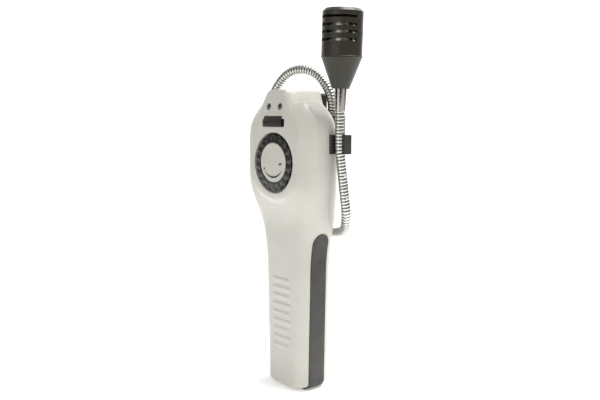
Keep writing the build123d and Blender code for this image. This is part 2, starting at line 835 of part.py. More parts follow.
def turned(points):
    """A revolved piece from its half section (radius, height) on the head's axis."""
    with BuildPart() as body:
        with BuildSketch(Plane.XZ):
            with BuildLine():
                Polyline(*points, close=True)
            make_face()
        revolve(axis=Axis.Z)
    return body.part


with BuildPart() as ferrule:
    add(head_plane.location * turned([(1.2, -5), (stub_radius, -5), (stub_radius, ferrule_gap),
                                      (ferrule_low_r, ferrule_gap), (ferrule_high_r, ferrule_length),
                                      (3.2, ferrule_length), (3.2, ferrule_length + 6),
                                      (1.2, ferrule_length + 6)]))
save(ferrule.part, "ferrule")

with BuildPart() as sensor_cone:
    add(head_plane.location * turned([(3.25, cone_foot), (cone_low_r, cone_foot), (cap_radius, cap_foot - 0.2),
                                      (cap_radius - 2.2, cap_foot - 0.2), (cap_radius - 2.2, cap_foot - 2),
                                      (cone_low_r - 1.5, cone_foot + 6), (3.25, cone_foot + 6)]))
save(sensor_cone.part, "sensor_cone")

with BuildPart() as sensor_cap:
    add(head_plane.location * turned([(cap_radius, cap_foot), (cap_radius, cap_top - 2), (cap_radius - 2, cap_top),
                                      (0, cap_top), (0, cap_top - cap_wall), (cap_radius - cap_wall, cap_top - cap_wall),
                                      (cap_radius - cap_wall, cap_foot)]))
    for row_z in slot_rows:
        local = row_z - ferrule_z
        for start in (pillar_azimuth + (180 - slot_arc) / 2, pillar_azimuth + (180 - slot_arc) / 2 + 180):
            with BuildPart(mode=Mode.PRIVATE) as cutter:
                with BuildSketch(Plane.XY.offset(local - slot_height / 2)):
                    with BuildLine():
                        outer_arc = CenterArc((0, 0), cap_radius + 2, start, slot_arc)
                        inner_arc = CenterArc((0, 0), cap_radius - cap_wall - 1, start, slot_arc)
                        Line(outer_arc @ 0, inner_arc @ 0)
                        Line(outer_arc @ 1, inner_arc @ 1)
                    make_face()
                extrude(amount=slot_height)
            add(head_plane.location * cutter.part, mode=Mode.SUBTRACT)
save(sensor_cap.part, "sensor_cap")

with BuildPart() as sensor_board:
    add(head_plane.location * turned([(0, cap_foot - 1.9), (cap_radius - 2.3, cap_foot - 1.9),
                                      (cap_radius - 2.3, cap_foot - 0.3), (0, cap_foot - 0.3)]))
save(sensor_board.part, "sensor_board")

with BuildPart() as sensor_element:
    add(head_plane.location * turned([(0, cap_foot - 0.3), (9.5, cap_foot - 0.3), (9.5, cap_foot + 4),
                                      (8.2, cap_foot + 4.4), (8.2, cap_foot + 24), (7.2, cap_foot + 25),
                                      (0, cap_foot + 25)]))
save(sensor_element.part, "sensor_element")
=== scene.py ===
import math

import bmesh
import bpy
from mathutils import Matrix, Vector


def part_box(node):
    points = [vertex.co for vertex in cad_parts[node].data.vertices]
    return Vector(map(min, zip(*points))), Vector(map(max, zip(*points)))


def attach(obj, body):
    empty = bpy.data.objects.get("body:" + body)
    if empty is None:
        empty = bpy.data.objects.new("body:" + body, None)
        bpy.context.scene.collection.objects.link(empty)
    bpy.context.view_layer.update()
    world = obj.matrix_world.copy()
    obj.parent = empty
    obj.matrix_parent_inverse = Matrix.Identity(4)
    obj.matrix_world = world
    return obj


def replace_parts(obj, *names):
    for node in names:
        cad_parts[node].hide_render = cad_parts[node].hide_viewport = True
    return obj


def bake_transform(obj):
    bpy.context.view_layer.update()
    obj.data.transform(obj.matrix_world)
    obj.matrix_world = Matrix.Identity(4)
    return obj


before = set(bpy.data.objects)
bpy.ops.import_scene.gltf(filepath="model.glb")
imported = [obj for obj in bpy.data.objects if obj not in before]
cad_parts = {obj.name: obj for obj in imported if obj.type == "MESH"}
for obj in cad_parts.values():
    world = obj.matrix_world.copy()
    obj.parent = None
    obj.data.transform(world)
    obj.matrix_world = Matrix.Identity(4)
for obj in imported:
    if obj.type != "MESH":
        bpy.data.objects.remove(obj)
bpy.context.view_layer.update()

# The photograph's camera, fitted to the dial, ribs, top and foot
CAMERA_PLACE = (0.4218, -0.3619, 0.2021)
CAMERA_PITCH = 6.376
CAMERA_TURN = 49.17
CAMERA_LENS = 45.04
CAMERA_SENSOR = 36.0

# The arm's route in millimetres, with the same corners as the CAD arm
LEG_X, LEG_Y = 41.0, 3.9
LEG_LEAN = 8.5
LEG_FOOT_Z = 130.5
BEND_Z = 179.0
TOP_RADIUS = 30.0
CORNER_SHARE = 0.96
LINK_LOW_Z = 140.5
LINK_PITCH = 8.05
LINK_COUNT = 4
LINK_GAP = 0.8
FERRULE_Z = 205.6
ARM_RADIUS = 3.5

# The arm's winding; its skin takes a painted shade where it rises less than the share set below of the way to
# the crest
COIL_PITCH = 2.3
COIL_DEPTH = 0.55
GROOVE_SHADE_RISE = 0.66
COIL_STEPS = 8
COIL_SIDES = 40

# The dial's middle and its printed crescent, with angles in degrees
DIAL_Z = 168.8
PRINT_RISE = 0.04
CRESCENT = 11.3
CRESCENT_START = 214
CRESCENT_SWEEP = 118
CRESCENT_STEPS = 32
CRESCENT_THIN = 0.35
CRESCENT_THICK = 1.25
CRESCENT_POWER = 1.2

# The lamps' rims
LAMP_Z = 208.9
LAMP_FACE_Y = -21.0
RIM_RADIUS = 2.75
RIM_WIDE = 0.32
RIM_RISE = 0.28
RIM_FORWARD = 0.1
RIM_STEPS = 48
RIM_SIDES = 8

# The ridge under the dial, and the part of the neck that is refined for it
RIDGE_RADIUS = 28.0
RIDGE_SOFT = 5.0
RIDGE_SHARE = 0.75
RIDGE_BELOW_DIAL = 10
FACE_Y = -23.0
NECK_Y = -14.0
NECK_HALF = 32
NECK_LOW_Z = 132
NECK_HIGH_Z = 160
POCKET_EDGE = 22.2
FRONT_NORMAL = -0.5
REFINE_EDGE = 1.3
REFINE_PASSES = 7
WELD_DISTANCE = 1e-7

# The foot's rounder corners, and the grip's band under them
FOOT_TOP = 8.0
FOOT_RISE = 0.5
FOOT_ROUND = 7.5
FOOT_HALF = 22.0
FOOT_MARGIN = 1
GRIP_HALF = 7.4
BAND_START = 25
BAND_STEPS = 14
BAND_DEEP = 1.6
BAND_BEVEL = 0.4

# The handle's front and its ribs; the solid's own ribs are flattened a little beyond the new ones
HANDLE_Y = -15.6
RIB_COUNT = 9
RIB_PITCH = 6.26
RIB_LOW_Z = 31.5
RIB_HALF = 11.0
RIB_WIDTH = 2.3
RIB_RISE = 0.42
RIB_SOFT = 3.0
RIB_SINK = 0.03
RIB_LONG = 1.2
RIB_SHORT = -0.6
RIB_POWER = 1.3
RIB_BELOW = 4
RIB_BESIDE = 1
RIB_COLUMNS = 44
RIB_ROWS = 14

# The dial ring
RING_RADIUS = 20.2
RING_BORE = 14.45
RING_FRONT_Y = -23.5
RING_BACK_Y = -20.75
# The skirt: the ring's dark plastic spread across the pocket, painted shade for the gap round the ring
SHADE_SKIRT_RADIUS = 21.45
FLUTES = 18
FLUTE_RADIUS = 2.6
FLUTE_CENTRE = RING_RADIUS + 0.55 * FLUTE_RADIUS
FLUTE_STEPS = 14

# The switch knob: half its width, and its outline as (y, z) from the lower front corner round
KNOB_HALF = 9.9
KNOB_OUTLINE = [(-24.25, 194.85), (-24.25, 199.0), (-23.0, 202.2), (-22.82, 202.1), (-23.2, 199.95),
                (-20.3, 199.95), (-20.3, 194.85)]
KNOB_BEVEL = 0.22

# The sensor cap's lip
HEAD_LEAN = 2.2
LIP_RADIUS = 14.4
LIP_HEIGHT = 37.1
LIP_STEPS = 96

# Edges count as sharp above these angles, in degrees
SHELL_CREASE = 28
PIECE_CREASE = 30
RING_CREASE = 35

# The stage in metres: its floor's ends, its curve, its wall's top and half its width
STAGE_NEAR = -1.6
STAGE_FAR = 1.2
STAGE_CURVE = 0.5
STAGE_TOP = 2.4
STAGE_HALF = 2.5
STAGE_STEPS = 12
STAGE_GLOW = 0.30

# The surround's light: its lowest and highest level, and the stops between as (height, level)
SKY_ENDS = (0.10, 1.0)
SKY_STOPS = ((0.08, 0.15), (0.25, 0.45), (0.60, 0.90))
SKY_STRENGTH = 0.52
SHOWN_WHITE = 2.0
LIGHTS_AIM = (0, 0, 0.14)


def mm(*values):
    """Millimetres to metres, as a vector."""
    return Vector([value / 1000 for value in values])


# Materials
def shader(name, color, roughness, metallic=0.0, coat=0.0, specular=0.5):
    """A new material with its plain settings on the shader's own sockets."""
    material = bpy.data.materials.new(name)
    material.use_nodes = True
    bsdf = material.node_tree.nodes["Principled BSDF"]
    bsdf.inputs["Base Color"].default_value = (*color, 1.0)
    bsdf.inputs["Roughness"].default_value = roughness
    bsdf.inputs["Metallic"].default_value = metallic
    bsdf.inputs["Coat Weight"].default_value = coat
    bsdf.inputs["Specular IOR Level"].default_value = specular
    return material, bsdf


def noise(material, scale, detail=4.0):
    """A noise texture in object space, in turns per metre."""
    tree = material.node_tree
    place = tree.nodes.new("ShaderNodeTexCoord")
    texture = tree.nodes.new("ShaderNodeTexNoise")
    texture.inputs["Scale"].default_value = scale
    texture.inputs["Detail"].default_value = detail
    texture.inputs["Roughness"].default_value = 0.6
    tree.links.new(place.outputs["Object"], texture.inputs["Vector"])
    return texture.outputs["Fac"]


def remap(material, source, low, high):
    """The middle of a noise's range turned into low to high."""
    node = material.node_tree.nodes.new("ShaderNodeMapRange")
    node.inputs["From Min"].default_value = 0.35
    node.inputs["From Max"].default_value = 0.65
    node.inputs["To Min"].default_value = low
    node.inputs["To Max"].default_value = high
    material.node_tree.links.new(source, node.inputs["Value"])
    return node.outputs["Result"]


def vary_roughness(material, bsdf, low, high, scale):
    """Roughness that drifts over the surface."""
    value = remap(material, noise(material, scale), low, high)
    material.node_tree.links.new(value, bsdf.inputs["Roughness"])


def vary_color(material, bsdf, first, second, scale):
    """A slow drift between two close colours."""
    ramp = material.node_tree.nodes.new("ShaderNodeValToRGB")
    ramp.color_ramp.elements[0].position = 0.4
    ramp.color_ramp.elements[1].position = 0.6
    ramp.color_ramp.elements[0].color = (*first, 1.0)
    ramp.color_ramp.elements[1].color = (*second, 1.0)
    material.node_tree.links.new(noise(material, scale), ramp.inputs["Fac"])
    material.node_tree.links.new(ramp.outputs["Color"], bsdf.inputs["Base Color"])


def bump(material, bsdf, scale, depth):
    """Fine grain, depth in metres."""
    node = material.node_tree.nodes.new("ShaderNodeBump")
    node.inputs["Strength"].default_value = 1.0
    node.inputs["Distance"].default_value = depth
    material.node_tree.links.new(noise(material, scale, detail=3.0), node.inputs["Height"])
    material.node_tree.links.new(node.outputs["Normal"], bsdf.inputs["Normal"])


def moulded(name, color, shade, roughness, grain, specular=0.5):
    """A moulded plastic or rubber: two close shades, uneven gloss and a fine grain."""
    material, bsdf = shader(name, color, sum(roughness) / 2, specular=specular)
    vary_color(material, bsdf, color, shade, scale=60.0)
    vary_roughness(material, bsdf, *roughness, scale=120.0)
    bump(material, bsdf, scale=2600.0, depth=grain)
    return material


def polished(name, color, roughness, grain):
    """A bright metal with faint handling marks."""
    material, bsdf = shader(name, color, sum(roughness) / 2, metallic=1.0)
    vary_roughness(material, bsdf, *roughness, scale=900.0)
    bump(material, bsdf, scale=1500.0, depth=grain)
    return material


# A colour and a close shade, the range of roughness, the grain's depth in metres, and a duller specular
WHITE = moulded("white_plastic", (0.54, 0.527, 0.472), (0.518, 0.505, 0.45), (0.28, 0.36), 0.000012)
STRIP = moulded("grip_rubber", (0.052, 0.051, 0.045), (0.043, 0.042, 0.037), (0.48, 0.60), 0.00002, 0.35)
DIAL = moulded("dial_plastic", (0.022, 0.021, 0.018), (0.017, 0.016, 0.014), (0.16, 0.24), 0.000004)
DISC = moulded("disc_plastic", (0.52, 0.51, 0.45), (0.50, 0.49, 0.43), (0.34, 0.42), 0.00001)
BLACK = moulded("black_plastic", (0.030, 0.030, 0.029), (0.024, 0.024, 0.023), (0.32, 0.42), 0.00001)
HEAD = moulded("head_plastic", (0.031, 0.028, 0.019), (0.025, 0.023, 0.015), (0.27, 0.36), 0.000006, 0.32)
CLIP = moulded("clip_plastic", (0.036, 0.035, 0.029), (0.029, 0.028, 0.024), (0.36, 0.46), 0.000006, 0.35)
KNOB = moulded("knob_plastic", (0.020, 0.019, 0.016), (0.016, 0.015, 0.013), (0.22, 0.32), 0.000003)
RIM = moulded("lamp_rim", (0.78, 0.78, 0.74), (0.75, 0.75, 0.71), (0.20, 0.28), 0.000003)
INK = moulded("ink", (0.045, 0.045, 0.043), (0.038, 0.038, 0.036), (0.45, 0.55), 0.000004)
CHROME = polished("chrome", (0.40, 0.38, 0.36), (0.05, 0.11), 0.000003)
COIL = polished("arm_chrome", (0.55, 0.54, 0.51), (0.14, 0.24), 0.000003)
# Painted shade: a dark metal that stands for the shade in the grooves between the arm's turns
GROOVE_SHADE = polished("arm_groove_shade", (0.10, 0.10, 0.095), (0.35, 0.50), 0.000006)
STEEL = polished("steel", (0.50, 0.50, 0.49), (0.28, 0.42), 0.000006)
BOARD = moulded("board_green", (0.02, 0.11, 0.05), (0.018, 0.09, 0.04), (0.34, 0.44), 0.00001)
CELL = moulded("cell_wrap", (0.05, 0.10, 0.22), (0.045, 0.09, 0.20), (0.24, 0.34), 0.000006)
MESH = polished("sensor_mesh", (0.60, 0.58, 0.52), (0.22, 0.36), 0.00004)


def lamp_material(name, color, shade):
    """A dark tinted lamp lens, wet-looking on top."""
    material, bsdf = shader(name, color, roughness=0.08, coat=0.6, specular=0.6)
    vary_color(material, bsdf, color, shade, scale=400.0)
    bump(material, bsdf, scale=1800.0, depth=0.000004)
    bsdf.inputs["Coat Roughness"].default_value = 0.04
    return material


GREEN_LAMP = lamp_material("lamp_green", (0.012, 0.040, 0.024), (0.008, 0.030, 0.018))
RED_LAMP = lamp_material("lamp_red", (0.060, 0.012, 0.008), (0.045, 0.009, 0.006))

FINISHES = {
    "front_shell": WHITE, "rear_shell": WHITE, "battery_door": WHITE, "dial_disc": DISC,
    "grip_strip_right": STRIP, "grip_strip_left": STRIP, "dial_ring": DIAL, "switch_knob": BLACK,
    "switch_body": BLACK, "arm_socket": CLIP, "arm_clip": CLIP, "sensor_cone": HEAD, "sensor_cap": HEAD,
    "ferrule": CHROME, "sensor_element": MESH, "ready_lamp": GREEN_LAMP, "alarm_lamp": RED_LAMP,
    "circuit_board": BOARD, "sensor_board": BOARD, "buzzer": BLACK, "battery_cradle": BLACK,
    "potentiometer": BLACK, "potentiometer_rotor": BLACK, "door_screw": STEEL, "case_screws": STEEL,
    "board_screws": STEEL, "contact_spring": STEEL, "contact_plate": STEEL,
    "battery_cell_1": CELL, "battery_cell_2": CELL, "battery_cell_3": CELL,
}
for node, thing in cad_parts.items():
    thing.data.materials.clear()
    thing.data.materials.append(FINISHES.get(node, COIL))


# Shapes
def mesh_piece(name, points, faces, material, body, smooth=True):
    """A new piece from points in metres, riding on one CAD body."""
    data = bpy.data.meshes.new(name)
    data.from_pydata([tuple(point) for point in points], [], faces)
    data.validate()
    data.update()
    data.polygons.foreach_set("use_smooth", [smooth] * len(data.polygons))
    piece = bpy.data.objects.new(name, data)
    bpy.context.scene.collection.objects.link(piece)
    data.materials.append(material)
    if body:
        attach(piece, body)
    return piece


def crease(data, angle):
    """Smooth shading, with sharp edges above an angle in degrees."""
    data.polygons.foreach_set("use_smooth", [True] * len(data.polygons))
    data.set_sharp_from_angle(angle=math.radians(angle))


def band_faces(rings, count, closed):
    """Faces between rings of count points each; a closed band joins its last ring to the first."""
    faces = []
    for ring in range(rings if closed else rings - 1):
        ahead = (ring + 1) % rings
        for step in range(count):
            turn = (step + 1) % count
            faces.append((ring * count + step, ring * count + turn,
                          ahead * count + turn, ahead * count + step))
    return faces


def prism_faces(count):
    """Faces of a prism whose two ends have count points each."""
    faces = [tuple(range(count)), tuple(reversed(range(count, 2 * count)))]
    for index in range(count):
        turn = (index + 1) % count
        faces.append((index, index + count, turn + count, turn))
    return faces


def leg_point(z):
    """A point on the leaning part of the right leg, in millimetres."""
    return Vector((LEG_X, LEG_Y + (BEND_Z - z) * math.tan(math.radians(LEG_LEAN)), z))


def corner_radii(points):
    """The radius each corner's two runs allow: an end run serves one arc, an inner run two."""
    runs = [after - before for before, after in zip(points, points[1:])]
    halves = [math.tan(before.angle(after) / 2) for before, after in zip(runs, runs[1:])]
    reach = [0.0] + halves + [0.0]
    room = [CORNER_SHARE * run.length / (start + end) for run, start, end in zip(runs, reach, reach[1:])]
    return [min(before, after) for before, after in zip(room, room[1:])]


def round_path(points, radii, step):
    """Points every step along straight runs joined by tangent arcs."""
    dense = [points[0]]
    for before, corner, after, radius in zip(points, points[1:], points[2:], radii):
        first = (before - corner).normalized()
        second = (after - corner).normalized()
        half = first.angle(second) / 2
        back = radius / math.tan(half)
        centre = corner + (first + second).normalized() * (radius / math.sin(half))
        start = corner + first * back
        end = corner + second * back
        turn = math.pi - 2 * half
        axis = (start - centre).cross(end - centre).normalized()
        count = max(2, int(turn * radius / (step / 2)))
        for index in range(count + 1):
            dense.append(centre + Matrix.Rotation(turn * index / count, 3, axis) @ (start - centre))
    dense.append(points[-1])
    lengths = [0.0]
    for before, after in zip(dense, dense[1:]):
        lengths.append(lengths[-1] + (after - before).length)
    count = round(lengths[-1] / step)
    result = []
    place = 0
    for index in range(count + 1):
        target = lengths[-1] * index / count
        while place < len(lengths) - 2 and lengths[place + 1] < target:
            place += 1
        span = max(lengths[place + 1] - lengths[place], 1e-9)
        result.append(dense[place].lerp(dense[place + 1], (target - lengths[place]) / span))
    return result, lengths[-1]


def frames_along(points):
    """A direction and two side vectors at each point, carried along without twist."""
    sides = []
    side = None
    for index in range(len(points)):
        ahead = points[min(index + 1, len(points) - 1)] - points[max(index - 1, 0)]
        ahead.normalize()
        if side is None:
            side = ahead.orthogonal()
        side = (side - ahead * side.dot(ahead)).normalized()
        sides.append((side, ahead.cross(side)))
    return sides


def coil_height(turn):
    """The wound wire's round back: 1 on its crest, 0 in the groove between two turns."""
    place = (turn % 1.0) * 2 - 1
    return math.sqrt(max(0.0, 1 - place * place))


def coil_piece(name, points, sides, start_length, step, body):
    """One wound stretch of the arm, with a helical wire as its skin and painted shade in the grooves between
    its turns.
    """
    verts = []
    rises = []
    for index, (point, (side, other)) in enumerate(zip(points, sides)):
        along = start_length + index * step
        for spoke in range(COIL_SIDES):
            angle = 2 * math.pi * spoke / COIL_SIDES
            rise = coil_height(along / COIL_PITCH - spoke / COIL_SIDES)
            radius = ARM_RADIUS - COIL_DEPTH * (1 - rise)
            verts.append((point + (side * math.cos(angle) + other * math.sin(angle)) * radius) / 1000)
            rises.append(rise)
    faces = band_faces(len(points), COIL_SIDES, closed=False)
    last = (len(points) - 1) * COIL_SIDES
    faces.append(tuple(reversed(range(COIL_SIDES))))
    faces.append(tuple(range(last, last + COIL_SIDES)))
    piece = mesh_piece(name, verts, faces, COIL, body)
    piece.data.materials.append(GROOVE_SHADE)
    # Faces low in a groove take the painted shade
    for polygon in piece.data.polygons:
        if sum(rises[vertex] for vertex in polygon.vertices) / len(polygon.vertices) < GROOVE_SHADE_RISE:
            polygon.material_index = 1
    return piece


ROUTE = [Vector(point) for point in (
    (13.3, 22.8, 186.0), (13.3, 22.8, 218.2), (-2.1, 18.2, 237.0), (-23.9, 11.6, 237.0), (-39.3, 7.0, 218.2),
    (-39.3, 10.0, 131.0), (-31.0, 20.0, 118.0), (0.0, 27.5, 112.0), (31.5, 18.6, 118.5))]
LEG_FOOT = leg_point(LEG_FOOT_Z)


def build_arm():
    """The wound arm as one winding: a fixed stretch, a piece bent across each joint, and the straight top."""
    step = COIL_PITCH / COIL_STEPS
    radii = corner_radii(ROUTE + [LEG_FOOT, leg_point(LINK_LOW_Z - LINK_GAP / 2)]) + [TOP_RADIUS]
    corners = ROUTE + [LEG_FOOT, leg_point(BEND_Z), Vector((LEG_X, LEG_Y, FERRULE_Z))]
    points, length = round_path(corners, radii, step)
    step = length / (len(points) - 1)
    sides = frames_along(points)

    def cut(z):
        """The last point, coming down from the top, that is no higher than z."""
        index = len(points) - 1
        while points[index].z > z:
            index -= 1
        return index

    def stretch(name, first, last, body):
        return coil_piece(name, points[first:last + 1], sides[first:last + 1], first * step, step, body)

    cuts = [cut(LINK_LOW_Z + (index - 0.5) * LINK_PITCH) for index in range(LINK_COUNT + 2)]
    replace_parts(stretch("arm_coil_main", 0, cuts[0], "housing"), "arm_main")
    bodies = ["housing"] + [f"link_{index + 1}" for index in range(LINK_COUNT)] + ["sensor_arm"]
    for index, (below, above) in enumerate(zip(bodies, bodies[1:])):
        piece = stretch(f"arm_coil_{index + 1}", cuts[index], cuts[index + 1], None)
        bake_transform(piece)
        if index:
            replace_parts(piece, f"arm_link_{index}")
    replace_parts(stretch("arm_coil_upper", cuts[-1], len(points) - 1, "sensor_arm"), "arm_upper")


build_arm()


# The shells with forms that the solids lack: the ridge under the dial, soft ribs and a rounder foot
def soft_step(value):
    """A soft step from 0 to 1."""
    value = min(1.0, max(0.0, value))
    return value * value * (3 - 2 * value)


def ridge_shift(x, y, z):
    """How far forward a point of the neck moves to carry the face plate down to its ridge, in millimetres."""
    beyond = math.hypot(x, z - DIAL_Z) - RIDGE_RADIUS
    inside = soft_step(0.5 - beyond / RIDGE_SOFT)
    return inside * RIDGE_SHARE * min(0.0, FACE_Y - y)


def round_foot(point):
    """A point of the foot moved on to rounder lower corners, in millimetres."""
    if point.z >= FOOT_TOP:
        return point
    z = FOOT_RISE + point.z * (FOOT_TOP - FOOT_RISE) / FOOT_TOP
    inset = FOOT_ROUND - math.sqrt(max(0.0, FOOT_ROUND ** 2 - (FOOT_TOP - z) ** 2))
    return Vector((point.x * (1 - inset / FOOT_HALF), point.y, z))


def shape_front(point, normal):
    """The front shell's changes: foot, flattened ribs and the ridge under the dial."""
    x, y, z = point
    in_rib_rows = RIB_LOW_Z - RIB_BELOW < z < RIB_LOW_Z + RIB_COUNT * RIB_PITCH
    if in_rib_rows and abs(x) < RIB_HALF + RIB_BESIDE and y < HANDLE_Y:
        return Vector((x, HANDLE_Y, z))
    on_front = normal.y < FRONT_NORMAL and y < NECK_Y
    under_dial = FOOT_TOP < z < DIAL_Z - RIDGE_BELOW_DIAL and math.hypot(x, z - DIAL_Z) > POCKET_EDGE
    if on_front and under_dial:
        return Vector((x, y + ridge_shift(x, y, z), z))
    return round_foot(point)


def shape_foot(point, normal):
    """The other shells' change: the foot alone."""
    return round_foot(point)


def in_foot(point):
    """True near the foot's corners."""
    return point.z < FOOT_TOP + FOOT_MARGIN


def in_ridge_zone(point):
    """True near the ridge, on the front of the neck, and near the foot."""
    on_neck = abs(point.x) < NECK_HALF and NECK_LOW_Z < point.z < NECK_HIGH_Z and point.y < NECK_Y
    return in_foot(point) or on_neck


def reshaped(node, name, zone, shape):
    """A copy of a CAD node's mesh, refined inside a zone and moved there by a rule."""
    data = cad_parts[node].data.copy()
    work = bmesh.new()
    work.from_mesh(data)
    bmesh.ops.remove_doubles(work, verts=work.verts, dist=WELD_DISTANCE)
    for _ in range(REFINE_PASSES):
        long_edges = [edge for edge in work.edges if edge.calc_length() > REFINE_EDGE / 1000
                      and all(zone(vertex.co * 1000) for vertex in edge.verts)]
        if not long_edges:
            break
        bmesh.ops.subdivide_edges(work, edges=long_edges, cuts=1)
        bmesh.ops.triangulate(work, faces=[face for face in work.faces if len(face.verts) > 3])
    for vertex in work.verts:
        vertex.co = shape(vertex.co * 1000, vertex.normal) / 1000
    work.to_mesh(data)
    work.free()
    if "custom_normal" in data.attributes:
        data.attributes.remove(data.attributes["custom_normal"])
    crease(data, SHELL_CREASE)
    piece = bpy.data.objects.new(name, data)
    bpy.context.scene.collection.objects.link(piece)
    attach(piece, "housing")
    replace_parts(piece, node)


reshaped("front_shell", "front_cover", in_ridge_zone, shape_front)
reshaped("rear_shell", "rear_cover", in_foot, shape_foot)
reshaped("battery_door", "door_cover", in_foot, shape_foot)
reshaped("grip_strip_right", "grip_right", in_foot, shape_foot)
reshaped("grip_strip_left", "grip_left", in_foot, shape_foot)


def grip_foot():
    """The grip's band under the foot, from strip to strip round both lower corners."""
    centre = FOOT_HALF - FOOT_ROUND
    outline = []
    for index in range(BAND_STEPS + 1):
        angle = math.radians(BAND_START + index * (90 - BAND_START) / BAND_STEPS)
        outline.append((math.cos(angle), math.sin(angle)))
    path = [(centre + FOOT_TOP * c, FOOT_TOP - FOOT_TOP * d, c, d) for c, d in outline]
    path += [(-x, z, -c, d) for x, z, c, d in reversed(path)]
    section = [(0.0, -GRIP_HALF + BAND_BEVEL), (BAND_BEVEL, -GRIP_HALF), (BAND_DEEP, -GRIP_HALF),
               (BAND_DEEP, GRIP_HALF), (BAND_BEVEL, GRIP_HALF), (0.0, GRIP_HALF - BAND_BEVEL)]
    verts = [mm(x - c * deep, y, z + d * deep) for x, z, c, d in path for deep, y in section]
    count = len(section)
    faces = [tuple(range(count)), tuple(reversed(range(len(verts) - count, len(verts))))]
    faces += band_faces(len(path), count, closed=False)
    piece = mesh_piece("grip_foot", verts, faces, STRIP, "housing")
    crease(piece.data, PIECE_CREASE)


def soft_ribs():
    """Nine low pillows across the handle, every second one a little longer to the right."""
    verts = []
    faces = []
    for rib in range(RIB_COUNT):
        start = len(verts)
        middle = RIB_LOW_Z + rib * RIB_PITCH
        right = RIB_HALF + (RIB_LONG if rib % 2 else RIB_SHORT)
        for row in range(RIB_ROWS + 1):
            v = 2 * row / RIB_ROWS - 1
            for column in range(RIB_COLUMNS + 1):
                u = 2 * column / RIB_COLUMNS - 1
                x = (u + 1) / 2 * (right + RIB_HALF) - RIB_HALF
                end = min(x + RIB_HALF, right - x) / RIB_SOFT
                rise = RIB_RISE * (1 - v * v) ** RIB_POWER * soft_step(end)
                verts.append(mm(x, HANDLE_Y + RIB_SINK - rise, middle + v * RIB_WIDTH))
        for row in range(RIB_ROWS):
            for column in range(RIB_COLUMNS):
                corner = start + row * (RIB_COLUMNS + 1) + column
                above = corner + RIB_COLUMNS + 1
                faces.append((corner, corner + 1, above + 1, above))
    piece = mesh_piece("grip_ribs", verts, faces, WHITE, "housing")


grip_foot()
soft_ribs()


# The fluted ring, with its scallops cut deeper at the front edge and a dark skirt across the pocket as
# painted shade for the gap round the ring
def scallop(angle):
    """Radius of the ring's edge at an angle, and how deep the nearest scallop is there, from 0 to 1."""
    pitch = 2 * math.pi / FLUTES
    offset = (angle + pitch / 2) % pitch - pitch / 2
    reach = FLUTE_CENTRE * math.sin(abs(offset))
    radius = RING_RADIUS
    if reach < FLUTE_RADIUS:
        radius = min(radius, FLUTE_CENTRE * math.cos(offset) - math.sqrt(FLUTE_RADIUS ** 2 - reach ** 2))
    return radius, (RING_RADIUS - radius) / (RING_RADIUS - (FLUTE_CENTRE - FLUTE_RADIUS))


def ring_piece():
    """The ring as one closed band of the same profile all round, its outer half following the scallops."""
    steps = FLUTES * FLUTE_STEPS
    verts = []
    for index in range(steps):
        angle = 2 * math.pi * index / steps
        edge, deep = scallop(angle)
        # Radius and y of each corner: the bore, the flat front, the scalloped edge, the skirt of painted
        # shade in the pocket and the back
        profile = [(RING_BORE, -22.0), (RING_BORE, -23.25), (RING_BORE + 0.25, RING_FRONT_Y),
                   (edge - 1.2 - 2.2 * deep, RING_FRONT_Y),
                   (edge - 0.7 - 1.1 * deep, RING_FRONT_Y + 0.12 + 0.25 * deep),
                   (edge - 0.2, RING_FRONT_Y + 0.4 + 0.8 * deep),
                   (edge, RING_FRONT_Y + 0.8 + 0.9 * deep), (edge, -21.45),
                   (SHADE_SKIRT_RADIUS, -21.25), (SHADE_SKIRT_RADIUS, RING_BACK_Y), (RING_BORE, RING_BACK_Y)]
        for radius, y in profile:
            verts.append(mm(radius * math.cos(angle), y, DIAL_Z + radius * math.sin(angle)))
    faces = band_faces(steps, len(profile), closed=True)
    piece = mesh_piece("dial_ring_fluted", verts, faces, DIAL, "dial")
    crease(piece.data, RING_CREASE)
    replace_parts(piece, "dial_ring")


ring_piece()


def cap_lip():
    """The thin lip where the sensor cap meets its cone."""
    axis = Matrix.Rotation(math.radians(HEAD_LEAN), 3, "Y")
    origin = Vector((LEG_X, LEG_Y, FERRULE_Z))
    # Radius of each corner and its height over the joint, from below
    profile = [(LIP_RADIUS - 0.4, -0.75), (LIP_RADIUS, -0.5), (LIP_RADIUS, 0.35), (LIP_RADIUS - 0.25, 0.6),
               (LIP_RADIUS - 0.6, 0.6)]
    verts = []
    for index in range(LIP_STEPS):
        turn = 2 * math.pi * index / LIP_STEPS
        for radius, up in profile:
            place = Vector((radius * math.cos(turn), radius * math.sin(turn), LIP_HEIGHT + up))
            verts.append((origin + axis @ place) / 1000)
    faces = band_faces(LIP_STEPS, len(profile), closed=True)
    piece = mesh_piece("cap_lip", verts, faces, HEAD, "sensor_arm")
    crease(piece.data, PIECE_CREASE)


cap_lip()


# The slide switch's knob with its sloped top
def knob_piece():
    """A bar across the slot whose top slopes back over the face, with softened edges."""
    verts = [mm(side * KNOB_HALF, y, z) for side in (-1, 1) for y, z in KNOB_OUTLINE]
    piece = mesh_piece("switch_grip", verts, prism_faces(len(KNOB_OUTLINE)), KNOB, "switch")
    work = bmesh.new()
    work.from_mesh(piece.data)
    bmesh.ops.recalc_face_normals(work, faces=work.faces)
    bmesh.ops.bevel(work, geom=list(work.edges), offset=KNOB_BEVEL / 1000, segments=3, profile=0.6,
                    affect="EDGES", clamp_overlap=True)
    work.to_mesh(piece.data)
    work.free()
    crease(piece.data, PIECE_CREASE)
    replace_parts(piece, "switch_knob")


knob_piece()


# Printing on the disc
def flat_print(name, outline, y, body):
    """A thin ink shape on the front, from (x, z) points in millimetres."""
    front = [mm(x, y - PRINT_RISE, z) for x, z in outline]
    back = [mm(x, y + PRINT_RISE, z) for x, z in outline]
    mesh_piece(name, front + back, prism_faces(len(outline)), INK, body, smooth=False)


